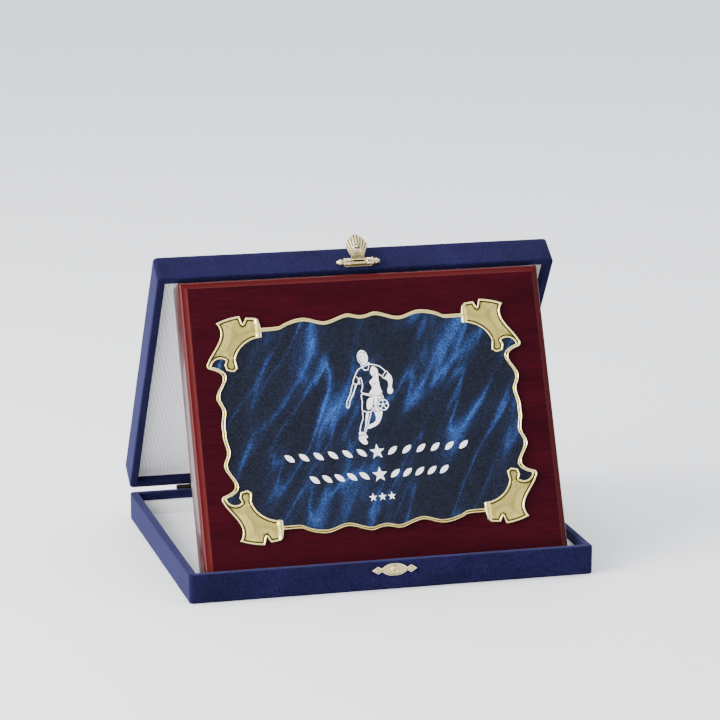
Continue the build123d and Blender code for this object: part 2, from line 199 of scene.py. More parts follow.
def velvet():
    """Short blue pile, with nap mottling, over a fine bump."""
    sheen = {"Sheen_Weight": 0.14, "Sheen_Roughness": 0.4, "Sheen_Tint": (0.42, 0.46, 1.0, 1)}
    f = Finish("velvet", Specular_IOR_Level=0.06, **sheen)
    here = f.place()
    patches = f.noise(here, 38, 4, 0.6, 0.4)
    pile = f.noise(here, 900, 3, 0.75)
    colour = f.ramp(patches, (0.3, (0.0050, 0.0042, 0.0225)), (0.7, (0.0088, 0.0076, 0.040)))
    flecks = f.ramp(pile, (0.35, (0.5, 0.5, 0.55)), (0.68, (1.6, 1.6, 1.5)))
    f.bump((patches, 0.15, 0.0006), (pile, 0.5, 0.0002))
    return f.paint(f.times(colour, flecks), f.spread(patches, 0.85, 1.0))


def satin():
    """White satin with a fine diagonal weave."""
    f = Finish("satin", Sheen_Weight=0.2, Sheen_Roughness=0.4)
    here = f.place()
    weave = {"Vector": here, "Scale": 290.0, "Distortion": 0.8, "Detail": 1.0}
    weave = f.add("TexWave", 1, weave, bands_direction="DIAGONAL")
    creases = f.noise(here, 30, 3, 0.5)
    colour = f.ramp(weave, (0.0, (0.76, 0.77, 0.79)), (1.0, (0.97, 0.97, 0.98)))
    # painted shade in the creases: darker where the crease noise, which also raises the bump, is
    # low
    shade = f.ramp(creases, (0.3, (0.91, 0.91, 0.93)), (0.6, (1.0, 1.0, 1.0)))
    f.bump((creases, 0.2, 0.0008), (weave, 0.35, 0.00012))
    return f.paint(f.times(colour, shade), f.spread(weave, 0.38, 0.5))


def lacquer(turn):
    """Gloss mahogany, fine grained.  zone is 0 on the face, 0.5 on the sides, 1 on the moulding."""
    f = Finish("lacquer", Coat_Roughness=0.03, Coat_IOR=1.5, Specular_IOR_Level=0.08)
    grain = f.noise(f.place(turn, (1.0, 30.0, 30.0)), 55, 5, 0.65, 0.2)
    lines = f.noise(f.place(turn, (1.0, 60.0, 60.0)), 90, 3, 0.7)
    figure = f.noise(f.place(turn, (1.0, 5.0, 5.0)), 14, 3, 0.5, 0.6)
    face = f.ramp(
        grain, (0.25, (0.015, 0.0011, 0.0034)), (0.55, (0.029, 0.0020, 0.0054)),
        (0.8, (0.051, 0.0030, 0.0076)),
    )
    clouds = f.ramp(figure, (0.3, (0.75, 0.75, 0.8)), (0.7, (1.2, 1.1, 1.1)))
    face = f.times(face, clouds)
    moulding = f.ramp(grain, (0.3, (0.033, 0.0002, 0.0008)), (0.7, (0.068, 0.0004, 0.0016)))
    side = f.ramp(grain, (0.3, (0.020, 0.0010, 0.0014)), (0.7, (0.055, 0.0035, 0.0035)))
    zone = f.add("Attribute", "Fac", {}, attribute_name="zone")
    colour = f.blend(f.spread(zone, 0.0, 2.0), face, side)
    colour = f.blend(f.spread(zone, -1.0, 1.0), colour, moulding)
    f.feed(f.shader.inputs["Coat Weight"], f.ramp(zone, (0.0, 0.35), (0.5, 0.24), (0.9, 0.06)))
    f.bump((lines, 0.06, 0.00008), (grain, 0.04, 0.0001))
    return f.paint(colour, f.spread(lines, 0.22, 0.4))


def gilt(name, bright, field, dark, roughness, scale):
    """Stamped metal: a painted highlight on the raised rims, a satin field, and painted shade where
    the relief is deep.
    """
    f = Finish(name, Metallic=0.88)
    here = f.place()
    grain = f.noise(here, scale, 3, 0.6)
    clouds = f.noise(here, 60, 3, 0.6)
    # painted light: the relief attribute gives painted shade up to 0.38, the field's colour from
    # 0.52 to 0.8, and a painted highlight from 0.92
    lift = f.add("Attribute", "Fac", {}, attribute_name="relief")
    colour = f.ramp(lift, (0.0, dark), (0.38, dark), (0.52, field), (0.8, field), (0.92, bright))
    patches = f.ramp(clouds, (0.3, (0.9, 0.9, 0.88)), (0.7, (1.0, 1.0, 1.0)))
    f.bump((clouds, 0.05, 0.0003), (grain, 0.12, 0.00004))
    shine = f.spread(grain, roughness - 0.06, roughness + 0.08)
    return f.paint(f.times(colour, patches), shine)


def marble(turn):
    """Printed marble: navy, with soft bright blue streaks that lean right, and fine grain."""
    f = Finish("marble_print", Coat_Weight=0.08, Coat_Roughness=0.3, Specular_IOR_Level=0.2)
    lean = turn @ Matrix.Rotation(radians(-31), 3, "Z")
    warp = f.noise(f.place(turn), 11, 2, 0.5)
    here = f.place(lean, (3.5, 0.6, 1.0))
    bent = f.add("VectorMath", 0, {0: here, 1: f.spread(warp, -0.009, 0.009)}, operation="ADD")
    veins = f.math("ABSOLUTE", f.math("SUBTRACT", f.noise(bent, 15, 2.5, 0.45, 0.35), 0.5))
    veins = f.ramp(veins, (0.0, 1.0), (0.03, 0.5), (0.10, 0.0))
    masses = f.noise(f.place(lean, (2.0, 0.8, 1.0)), 19, 3, 0.5, 0.6)
    masses = f.ramp(masses, (0.44, 0.0), (0.66, 1.0))
    smoke = f.noise(f.place(lean, (4.2, 0.9, 1.0)), 28, 4, 0.5, 0.4)
    glow = f.spread(f.math("MULTIPLY", veins, f.spread(masses, 0.45, 1.0)), 0.0, 1.3)
    glow = f.math("MULTIPLY_ADD", smoke, glow, f.spread(masses, -0.04, 0.10))
    base = f.ramp(
        glow, (0.0, (0.0062, 0.0078, 0.0155)), (0.18, (0.0078, 0.0120, 0.031)),
        (0.42, (0.014, 0.034, 0.112)), (0.75, (0.026, 0.076, 0.24)),
    )
    speckle = f.noise(f.place(turn), 1300, 1, 0.5)
    flecks = f.ramp(speckle, (0.3, (0.35, 0.35, 0.4)), (0.7, (1.7, 1.65, 1.6)))
    f.bump((speckle, 0.08, 0.00003))
    return f.paint(f.times(base, flecks), f.spread(speckle, 0.32, 0.42))


def ink():
    """White screen print."""
    f = Finish("ink")
    grain = f.noise(f.place(), 1200, 2, 0.6)
    f.bump((grain, 0.2, 0.00003))
    colour = f.ramp(grain, (0.3, (0.80, 0.80, 0.79)), (0.7, (0.92, 0.92, 0.91)))
    return f.paint(colour, f.spread(grain, 0.4, 0.55))


def old_brass():
    """Dull brass hinge metal, darker in patches, brighter where it is rubbed."""
    f = Finish("old_brass", Metallic=1.0)
    here = f.place()
    tarnish = f.noise(here, 260, 4, 0.65)
    scratches = f.noise(f.place(None, (1, 14, 14)), 320, 2, 0.6)
    dull = ((0.3, (0.04, 0.03, 0.015)), (0.6, (0.13, 0.10, 0.05)), (0.85, (0.24, 0.19, 0.10)))
    colour = f.ramp(tarnish, *dull)
    f.bump((tarnish, 0.1, 0.00005), (scratches, 0.15, 0.00003))
    return f.paint(colour, f.spread(tarnish, 0.5, 0.28))


def plain(name, low, high, scale, roughness, stretch=(1, 1, 1)):
    """Unfinished material for the inner pieces: wood, board, wadding or adhesive."""
    f = Finish(name)
    grain = f.noise(f.place(None, stretch), scale, 4, 0.6, 0.3)
    f.bump((grain, 0.4, 0.0002))
    colour = f.ramp(grain, (0.3, low), (0.7, high))
    return f.paint(colour, f.spread(grain, roughness - 0.1, roughness))


# ---- mesh helpers
def clamp(value):
    return min(max(value, 0.0), 1.0)


def shown(name, data):
    """A new object in the scene."""
    made = bpy.data.objects.new(name, data)
    bpy.context.scene.collection.objects.link(made)
    return made


def piece(name, solid, where, body, slot, finish, replaced=(), sharp=30, inward=False, **shades):
    """A mesh piece, smooth but for edges over sharp degrees, riding on its body.  solid is (points,
    faces), in millimetres about where's origin, along its turn's axes.  inward turns an open skin's
    faces to its hollow.  shades are attributes for the finish, with one value for each point."""
    turn, origin = where
    mesh = bpy.data.meshes.new(name)
    mesh.from_pydata([tuple(p) for p in solid[0]], [], solid[1])
    for attribute, values in shades.items():
        mesh.attributes.new(attribute, "FLOAT", "POINT").data.foreach_set("value", values)
    mesh.transform(Matrix.Translation(turn @ origin * MM) @ turn.to_4x4() @ Matrix.Scale(MM, 4))
    tidy = bmesh.new()
    tidy.from_mesh(mesh)
    bmesh.ops.recalc_face_normals(tidy, faces=tidy.faces)
    if inward:
        bmesh.ops.reverse_faces(tidy, faces=tidy.faces)
    tidy.to_mesh(mesh)
    tidy.free()
    mesh.shade_smooth()
    mesh.set_sharp_from_angle(angle=radians(sharp))
    mesh.materials.append(finish)
    made = shown(name, mesh)
    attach(made, body)
    if replaced:
        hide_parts(*replaced)
    return made


def thicken(made):
    """Gives cloth its thickness, behind the surface that shows."""
    solid = made.modifiers.new("thickness", "SOLIDIFY")
    solid.thickness = SKIN * MM
    solid.offset = -1


def round_edges(node):
    """Rounded edges on a CAD node that is kept."""
    bevel = nodes[node].modifiers.new("round_edges", "BEVEL")
    bevel.width = 0.12 * MM
    bevel.segments = 2
    bevel.limit_method = "ANGLE"
    bevel.angle_limit = radians(40)


def corner_loop(width, depth, radius, corner_steps, side_steps):
    """Points round a rounded rectangle, each with its share of the way round a corner, or None."""
    corners = []
    for quarter, (side, end) in enumerate(((1, 1), (-1, 1), (-1, -1), (1, -1))):
        centre = (side * (width / 2 - radius), end * (depth / 2 - radius))
        around = arc(centre, radius, 90 * quarter, 90 * (quarter + 1), corner_steps)
        corners.append([(x, y, i / corner_steps) for i, (x, y) in enumerate(around)])
    loop = []
    for corner, following in zip(corners, corners[1:] + corners[:1]):
        loop += corner
        (x0, y0, _), (x1, y1, _) = corner[-1], following[0]
        for share in np.arange(1, side_steps) / side_steps:
            loop.append((x0 + (x1 - x0) * share, y0 + (y1 - y0) * share, None))
    return loop


def rings(rows, count):
    """Faces between closed rows of count points each."""
    around = [(row * count, i, (i + 1) % count) for row in range(rows - 1) for i in range(count)]
    return [(start + a, start + b, start + b + count, start + a + count) for start, a, b in around]


def closed(points, count):
    """Points in rows of count, with faces between the rows and a cap at each end."""
    caps = [tuple(range(count)), tuple(range(len(points) - count, len(points)))]
    return points, rings(len(points) // count, count) + caps


def swept(width, depth, profile, radii, steps, shift=None):
    """Surface through a loop for each (inset, height) of the profile, closed at its last loop.
    radii are the corner's outer and least radius, and steps are those of a corner and of a side.
    shift(x, y, height, corner share, inset) may move each point."""
    points = []
    for inset, height in profile:
        inner = (width - 2 * inset, depth - 2 * inset)
        for x, y, share in corner_loop(*inner, max(radii[0] - inset, radii[1]), *steps):
            points.append(shift(x, y, height, share, inset) if shift else (x, y, height))
    count = len(points) // len(profile)
    return points, rings(len(profile), count) + [tuple(range(len(points) - count, len(points)))]


def arc(centre, radius, start, end, steps):
    """Profile points on an arc, from start to end degrees."""
    turns = [radians(start + (end - start) * i / steps) for i in range(steps + 1)]
    return [(centre[0] + radius * cos(a), centre[1] + radius * sin(a)) for a in turns]


def circle(steps):
    """Cosine and sine of equal steps round a circle."""
    return [(cos(2 * pi * k / steps), sin(2 * pi * k / steps)) for k in range(steps)]


def lathe(profile, steps):
    """A closed solid of (x, radius) turned about X."""
    return closed([(x, r * c, r * s) for x, r in profile for c, s in circle(steps)], steps)


def joined(*parts):
    """Several (points, faces) as one."""
    points, faces = [], []
    for some_points, some_faces in parts:
        start = len(points)
        points += some_points
        faces += [tuple(start + i for i in face) for face in some_faces]
    return points, faces


# ---- the two halves of the case
RIM_ROUND, EDGE_ROUND = 0.9, 1.1  # radii of the velvet over the rim, and at the outer face
CASE_CORNER = 2.7  # corner radius of the case, seen from above
SKIN = 0.5  # thickness of the cloth
PLEAT, PLEAT_WIDTH = 0.45, 0.2  # dip of the velvet on the rim's corners, and its half width


def half_frame(half, sheet):
    """Axes of a half, z away from its opening, and its sizes in millimetres."""
    turn = axes(face_normal(sheet, middle(sheet) - middle(f"{half}_padding")))
    low, high = span(f"{half}_velvet_wrap", turn)
    room = span(f"{half}_lining", turn)
    rail = span(f"{half}_front_rail", turn)
    return {
        "where": (turn, foot(low, high)), "width": high.x - low.x, "depth": high.y - low.y,
        "height": span(sheet, turn)[1].z - low.z, "turn_in": room[0].z - low.z,
        "wall": rail[1].y - rail[0].y + 2 * (rail[0].x - low.x),
        "room_width": room[1].x - room[0].x, "room_depth": room[1].y - room[0].y,
    }


def velvet_cover(half, sheet, finish):
    """Velvet from inside the rim, over it, down the walls and across the outer face."""
    size = half_frame(half, sheet)
    wall, turn_in, height = size["wall"], size["turn_in"], size["height"]
    profile = [(wall + 0.2, turn_in + 0.2), (wall, turn_in - 0.3), (wall, turn_in / 2)]
    profile += arc((wall - RIM_ROUND, RIM_ROUND), RIM_ROUND, 0, -90, 6)
    profile += [(wall / 2 + 0.7, 0.0), (wall / 2 - 0.7, 0.0)]
    profile += arc((RIM_ROUND, RIM_ROUND), RIM_ROUND, -90, -180, 6)
    profile += [(0.0, height * share) for share in (0.25, 0.5, 0.75)]
    profile += arc((EDGE_ROUND, height - EDGE_ROUND), EDGE_ROUND, 180, 90, 6)
    profile += [(inset, height) for inset in (2.5, 6, 14, 30, 50, 70, size["depth"] / 2 - 4)]

    def soften(x, y, depth, share, inset):
        wobble = noise.noise_vector(Vector((x, y, depth)) * 0.045)
        x, y = x + 0.12 * wobble.x, y + 0.12 * wobble.y
        on_rim = depth < RIM_ROUND and inset > RIM_ROUND * 0.2
        if share is not None and on_rim and abs(share - 0.5) < PLEAT_WIDTH:
            depth += PLEAT * (1 - abs(share - 0.5) / PLEAT_WIDTH)
        return x, y, min(depth + 0.05 * wobble.z, height)

    skin = swept(size["width"], size["depth"], profile, (CASE_CORNER, 0.25), (12, 30), soften)
    made = piece(
        f"{half}_velvet_cover", skin, size["where"], half, "velvet_blue", finish,
        (f"{half}_velvet_wrap", sheet), sharp=60,
    )
    thicken(made)
    return size


def satin_tray(half, size, pad, finish, replaced):
    """Lining inside a half, and its walls' height.  pad is its drop beside the walls."""
    turn_in, width, depth = size["turn_in"], size["room_width"], size["room_depth"]
    turn, origin = size["where"]
    floor = span(f"{half}_lining", turn)[1].z - origin.z - SKIN
    shoulder = max(4 * pad, 1.2)
    profile = [(0.1, turn_in - 0.2), (0.5, turn_in + 0.4), (0.5, floor - 1.2)]
    profile.append((0.7, floor - 0.3 + pad * 0.8))
    for share in np.linspace(0, 1, 9):
        profile.append((0.7 + shoulder * share, floor + pad * (1 - sin(share * pi / 2))))
    profile += [(inset + shoulder, floor) for inset in (4, 9, 16, 26, 40, 58, 76)]

    hinge_side = middle(f"{half}_back_rail") - middle(f"{half}_panel")
    back = 1 if turn.col[1].dot(hinge_side) > 0 else -1

    def crease(x, y, level, _, inset):
        from_side, from_end = abs(x) - width / 2, abs(y) - depth / 2
        if inset < 1.0:
            if level < turn_in and y * back > 0:
                level -= (turn_in - 0.5) * max(0.0, 1 - hypot(from_side, from_end) / 2.6)
            return x, y, level
        near = exp(-((inset - 3.0) / 8.0) ** 2)
        along = x if abs(from_end) < abs(from_side) else y
        pucker = 0.5 + 0.5 * noise.noise(Vector((along * 0.16, inset * 0.03, 3.0)))
        soft = 0.5 + 0.5 * noise.noise(Vector((x * 0.02, y * 0.02, 9.0)))
        return x, y, level + pad * (0.35 * near * pucker + 0.12 * soft)

    skin = swept(width, depth, profile, (1.0, 0.3), (6, 70), crease)
    made = piece(
        f"{half}_satin_lining", skin, size["where"], half, "lining_white", finish, replaced,
        sharp=60, inward=True,
    )
    thicken(made)
    return made, floor - turn_in


# ---- relief worked out from an outline
def border(polygons):
    """Directed edges that belong to only one of the polygons."""
    uses = {}
    for corners in polygons:
        for a, b in zip(corners, corners[1:] + corners[:1]):
            if a != b:
                uses.setdefault(frozenset((a, b)), []).append((a, b))
    return [edges[0] for edges in uses.values() if len(edges) == 1]


def outlines(node, turn, origin, level):
    """Closed outlines, in millimetres about origin, of a node's flat faces at height level."""
    mesh, back = nodes[node].data, turn.transposed()
    flat = [back @ v.co / MM - origin for v in mesh.vertices]
    key = {i: (round(p.x, 3), round(p.y, 3)) for i, p in enumerate(flat) if abs(p.z - level) < 0.02}
    level_faces = [p.vertices for p in mesh.polygons if all(v in key for v in p.vertices)]
    following = dict(border([key[v] for v in face] for face in level_faces))
    loops = []
    while following:
        first, point = following.popitem()
        loop = [first]
        while point != first:
            loop.append(point)
            point = following.pop(point)
        loops.append(loop)
    return sorted(loops, key=len, reverse=True)


def divided(loop, spacing):
    """The loop with extra points, so that no step is longer than spacing."""
    fine = []
    for (x0, y0), (x1, y1) in zip(loop, loop[1:] + loop[:1]):
        steps = max(1, round(hypot(x1 - x0, y1 - y0) / spacing))
        fine += [(x0 + (x1 - x0) * i / steps, y0 + (y1 - y0) * i / steps) for i in range(steps)]
    return fine


def inside(points, loops):
    """Which of the points are inside the loops, by counting crossings."""
    points = np.asarray(points, float)
    found = np.zeros(len(points), bool)
    for loop in loops:
        a = np.asarray(loop, float)
        b = np.roll(a, -1, axis=0)
        for (x0, y0), (x1, y1) in zip(a, b):
            if y0 != y1:
                spans = (points[:, 1] >= min(y0, y1)) & (points[:, 1] < max(y0, y1))
                crossing = x0 + (points[:, 1] - y0) / (y1 - y0) * (x1 - x0)
                found ^= spans & (points[:, 0] < crossing)
    return found


def edge_distance(points, loops):
    """Distance from each point to the nearest outline, whose points lie close together."""
    links, samples = [], []
    for loop in loops:
        start, count = len(samples), len(loop)
        samples += loop
        links += [(start + (i - 1) % count, start + (i + 1) % count) for i in range(count)]
    tree = kdtree.KDTree(len(samples))
    for i, (x, y) in enumerate(samples):
        tree.insert((x, y, 0), i)
    tree.balance()
    nearest = []
    for x, y in points:
        _, index, gap = tree.find((x, y, 0))
        px, py = samples[index]
        for link in links[index]:
            run = (samples[link][0] - px, samples[link][1] - py)
            along = (x - px) * run[0] + (y - py) * run[1]
            share = clamp(along / max(run[0] ** 2 + run[1] ** 2, 1e-12))
            gap = min(gap, hypot(x - px - share * run[0], y - py - share * run[1]))
        nearest.append(gap)
    return np.array(nearest)


def cut(loops, extra=()):
    """The plane cut into triangles along the loops: points, triangles and their middles."""
    corners, edges = [], []
    for loop in loops:
        start = len(corners)
        corners += loop
        edges += [(start + i, start + (i + 1) % len(loop)) for i in range(len(loop))]
    corners = [Vector(p) for p in corners + list(extra)]
    points, _, faces, *_ = delaunay_2d_cdt(corners, edges, [], 0, 1e-5)
    middles = [sum((points[i] for i in face), Vector((0, 0))) / len(face) for face in faces]
    return [tuple(p) for p in points], [tuple(f) for f in faces], middles


def relief(loops, spacing, offsets, field_step, height):
    """A closed solid over the loops, with rows of points at offsets from their edges and a field
    between.  height(point, distance) gives each point's height and shade."""
    loops = [divided(loop, spacing) for loop in loops]
    extra = []
    for loop in loops:
        a = np.asarray(loop, float)
        side = sideways(a)
        if np.mean(inside(a + 0.05 * side, loops)) < 0.5:
            side = -side
        for offset in offsets:
            moved = a + offset * side
            extra += [tuple(p) for p in moved[edge_distance(moved, loops) > offset * 0.93]]
    low, high = np.min(loops[0], axis=0), np.max(loops[0], axis=0)
    grid = [
        (x + (field_step / 2 if row % 2 else 0), y)
        for row, y in enumerate(np.arange(low[1], high[1], field_step))
        for x in np.arange(low[0], high[0], field_step)
    ]
    grid = [p for p, kept in zip(grid, inside(grid, loops)) if kept]
    far = edge_distance(grid, loops) > offsets[-1] + 0.6 * field_step
    extra += [p for p, kept in zip(grid, far) if kept]
    flat, faces, middles = cut(loops, extra)
    faces = [face for face, kept in zip(faces, inside(middles, loops)) if kept]
    raised = [height(p, d) for p, d in zip(flat, edge_distance(flat, loops))]
    solid = walled(flat, faces, [z for z, _ in raised], 0.0)
    return solid, [shade for _, shade in raised] + [0.0] * len(flat)


def normals(along):
    """Unit vectors to the left of the given ones."""
    along = along / np.maximum(np.hypot(along[:, 0], along[:, 1]), 1e-9)[:, None]
    return np.stack([-along[:, 1], along[:, 0]], axis=1)


def sideways(loop):
    """Unit normals of a closed run of points."""
    return normals(np.roll(loop, -1, axis=0) - np.roll(loop, 1, axis=0))


def doubled(faces, count):
    """The faces, the same ones turned over on the points count further on, and walls between."""
    walls = [(b, a, a + count, b + count) for a, b in border(faces)]
    under = [(face[0], *face[:0:-1]) for face in faces]
    return faces + walls + [tuple(i + count for i in face) for face in under]


def walled(flat, faces, heights, base):
    """Closed solid from a flat base up to the faces, whose points have the given heights."""
    points = [(*p, z) for p, z in zip(flat, heights)] + [(*p, base) for p in flat]
    return points, doubled(faces, len(flat))


def between(table, at):
    """Value at a place in a table of (place, value), joined by smooth steps."""
    for (x0, y0), (x1, y1) in zip(table, table[1:]):
        if at <= x1:
            share = clamp((at - x0) / (x1 - x0))
            return y0 + (y1 - y0) * share * share * (3 - 2 * share)
    return table[-1][1]


# ---- the plaque
# Moulded edge as (inset, height above the back), as the CAD board has it.
QUIRK = [(0, 15.2), (0.7, 15.5), (0.15, 16.1)]
NOSE_BOTTOM = 16
NOSE_TOP = (1.3, 18.1)
HOLLOW_END = (4.2, 19.3)
STEP = 4.7


def through(start, via, end, steps):
    """Points on the curve that passes start, via and end."""
    ends = [(a, 2 * v - (a + b) / 2, b) for a, v, b in zip(start, via, end)]
    return [
        tuple((1 - s) ** 2 * a + 2 * s * (1 - s) * c + s * s * b for a, c, b in ends)
        for s in np.arange(1, steps + 1) / steps
    ]


def moulded_board(turn, finish):
    """The board in one closed solid, with its zones for the lacquer."""
    low, high = span("plaque_board", turn)
    top = high.z - low.z
    edge = HOLLOW_END[0]
    profile = [(12.0, 0.0), (0.6, 0.0), (0.25, 0.12), (0.0, 0.6), (0.0, 8.0)]
    profile += [(0.0, QUIRK[0][1] - 0.15), *QUIRK]
    profile += through(QUIRK[-1], (0.4, 17.2), NOSE_TOP, 8)
    profile += through(NOSE_TOP, (2.5, 18.45), HOLLOW_END, 8)
    profile += [(edge + 0.02, top - 0.25), (edge + 0.12, top - 0.06)]
    profile += [(STEP, top), (STEP + 0.1, top)]
    points, faces = swept(high.x - low.x, high.y - low.y, profile, (0.35, 0.12), (3, 20))
    ring = len(points) // len(profile)
    faces.append(tuple(range(ring)))
    zones = []
    for inset, level in profile:
        zones += [0.5 if level < NOSE_BOTTOM else 1.0 if inset < STEP else 0.0] * ring
    piece(
        "moulded_board", (points, faces), (turn, foot(low, high)), "plaque", "lacquered_wood",
        finish, ("plaque_board",), sharp=28, zone=zones,
    )


# Height of the foil, as a share of the frame's, at distances from its edges. The same values paint
# its light: a painted highlight where they are high on the rims, painted shade where they are low
# in the grooves.
SCROLL_RIM = [
    (0, 0.36), (0.16, 0.86), (0.45, 1), (0.85, 0.92), (1.05, 0.4), (1.6, 0.24), (2.1, 0.5),
    (3, 0.68), (7, 0.95),
]
BORDER_RIM = [
    (0, 0.36), (0.12, 0.86), (0.32, 1), (0.58, 0.92), (0.8, 0.42), (1.2, 0.26), (2, 0.5)
]
TOP_RIM = [(0, 0.36), (0.2, 0.8), (0.5, 0.92), (1, 0.84), (2, 0.86)]
# within this distance of an edge the shade is the height share itself, with its painted highlight;
# further in it is held at 0.8 at most, so the raised field gets none
RIM_WIDTH = 1.1
ROW_OFFSETS = (0.14, 0.34, 0.58, 0.82, 1.05, 1.3, 1.6, 2.1)
# Places on the frame, in millimetres from its middle.
SCROLL_X, SCROLL_Y = 60, 34.5  # the corner scrolls lie beyond both
TOP_BORDER_Y = 50
ROLL_X, ROLL_Y = (60.3, 63.6), 53  # rolled end of a scroll, above this height
CURL_X, CURL_Y = (77.2, 83), 41.5  # where the small tab curls over
OVER_PLATE = 0.51  # least share of the height, so the foil clears the plate under it
PLATE_MARGIN = 0.9  # how far the plate goes in under the frame
EDGE_STEP = 0.5


def bow(x, ends):
    """0 at both ends and 1 midway."""
    return sin(pi * (x - ends[0]) / (ends[1] - ends[0]))


def embossed_frame(turn, origin, top, finish):
    """Scroll frame: a raised rim round every edge with a painted highlight on it, a groove inside
    it with painted shade, and a satin field.
    """
    loops = outlines("scroll_frame", turn, origin, top)[:2]

    def height(p, distance):
        x, y = abs(p[0]), abs(p[1])
        if x > SCROLL_X and y > SCROLL_Y:
            lift = between(SCROLL_RIM, distance)
        else:
            lift = between(TOP_RIM if p[1] > TOP_BORDER_Y else BORDER_RIM, distance)
        # the rolled end rises in a round band, which gets a painted highlight within RIM_WIDTH of
        # an edge
        if ROLL_X[0] < x < ROLL_X[1] and y > ROLL_Y:
            lift = max(lift, 0.75 + 0.4 * bow(x, ROLL_X))
        # the curl: a groove along its line with a low ridge just above, in the height and as
        # painted shade in the groove
        if abs(y - 39.5) < 5.5 and CURL_X[0] - 1 < x < CURL_X[1] + 1.5:
            above = y - CURL_Y - 0.9 * bow(x, CURL_X)
            lift += 0.24 * exp(-((above - 0.75) / 0.35) ** 2) - 0.42 * exp(-(above / 0.28) ** 2)
        # the shade is not held up by OVER_PLATE as the height is, so the grooves' painted shade is
        # darker than their real depth would give
        return top * max(lift, OVER_PLATE), lift if distance < RIM_WIDTH else min(lift, 0.8)

    foil, shade = relief(loops, EDGE_STEP, ROW_OFFSETS, 1.0, height)
    piece(
        "embossed_frame", foil, (turn, origin), "plaque", "gold_frame", finish, ("scroll_frame",),
        sharp=75, relief=shade,
    )


def window_plate(turn, origin, top, low, high, finish):
    """Printed plate, with a narrow margin under the frame round it."""
    window = outlines("scroll_frame", turn, origin, top)[1]
    loop = shrunk(divided(window, EDGE_STEP), -PLATE_MARGIN)
    flat, cells, middles = cut([loop])
    cells = [cell for cell, kept in zip(cells, inside(middles, [loop])) if kept]
    plate = walled(flat, cells, [high] * len(flat), low)
    where = (turn, origin)
    piece("window_plate", plate, where, "plaque", "marble_print", finish, ("marble_plate",))


# ---- the printed figure
def smooth(points, steps=6):
    """A closed Catmull-Rom curve through the points."""
    curve = []
    for i in range(len(points)):
        a, b, c, d = (Vector(points[(i + k) % len(points)]) for k in (-1, 0, 1, 2))
        for step in range(steps):
            t = step / steps
            bend = (2 * a - 5 * b + 4 * c - d) * t * t + (3 * b - a - 3 * c + d) * t ** 3
            curve.append(0.5 * (2 * b + (c - a) * t + bend))
    return [tuple(p) for p in curve]


def shrunk(loop, amount):
    """The loop moved inward by amount."""
    a = np.asarray(loop, float)
    x, y = a[:, 0], a[:, 1]
    area = np.sum(x * np.roll(y, -1) - y * np.roll(x, -1))
    return [tuple(p) for p in a + amount * sideways(a) * (1 if area > 0 else -1)]


def oval(x, y, wide, tall, tilt=0.0, steps=28):
    a, b = cos(radians(tilt)), sin(radians(tilt))
    around = [(wide * c, tall * s) for c, s in circle(steps)]
    return [(x + u * a - v * b, y + u * b + v * a) for u, v in around]


def stroke(points, width):
    """A tapered line through open points."""
    a = np.asarray(points, float)
    half = width / 2 * (0.35 + 0.65 * np.sin(np.linspace(0, pi, len(a))))[:, None]
    side = half * normals(np.gradient(a, axis=0))
    return [tuple(p) for p in np.concatenate([a + side, (a - side)[::-1]])]


